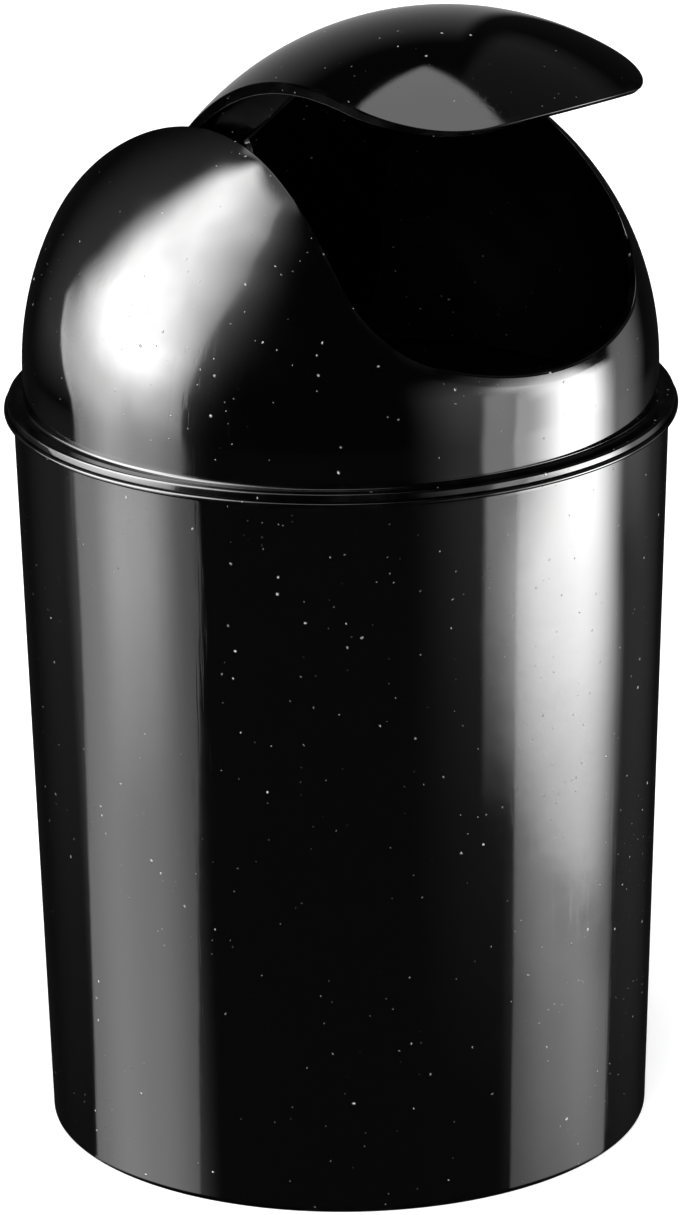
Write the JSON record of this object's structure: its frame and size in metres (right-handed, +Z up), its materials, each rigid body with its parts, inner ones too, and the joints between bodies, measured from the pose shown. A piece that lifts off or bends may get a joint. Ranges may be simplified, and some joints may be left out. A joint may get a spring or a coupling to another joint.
{
  "type": "countertop trash can with swing lid",
  "caption": "Round countertop trash can: a tapered bucket, a domed hood open at front and back, and a saddle-shaped lid that swings between the hood's ears.",
  "frame": {"origin": "centre of the base, on the surface that the bucket stands on", "axes": "+Z up; the swing axis lies along X; the hood's openings face -Y (front) and +Y (back); the lid is stored swung open with its front end raised"},
  "size_m": [0.1524, 0.1524, 0.2659],
  "materials": {
    "bucket_plastic": "high gloss, moulded black",
    "hood_plastic": "high gloss, moulded black",
    "lid_plastic": "high gloss, moulded black",
    "pin_plastic": "gloss, moulded black"
  },
  "bodies": {
    "bucket_body": {"bucket": "bucket_plastic"},
    "hood_body": {"hood": "hood_plastic"},
    "lid_body": {"swing_lid": "lid_plastic", "left_pivot_pin": "pin_plastic", "right_pivot_pin": "pin_plastic"}
  },
  "joints": [
    {"name": "hood_lift", "type": "slide", "parent": "bucket_body", "child": "hood_body", "axis": [0, 0, 1], "range_m": [0, 0.12]},
    {"name": "lid_swing", "type": "hinge", "parent": "hood_body", "child": "lid_body", "pos_m": [0, 0, 0.2337], "axis": [1, 0, 0], "range_deg": [-35.2, 114.8]}
  ]
}
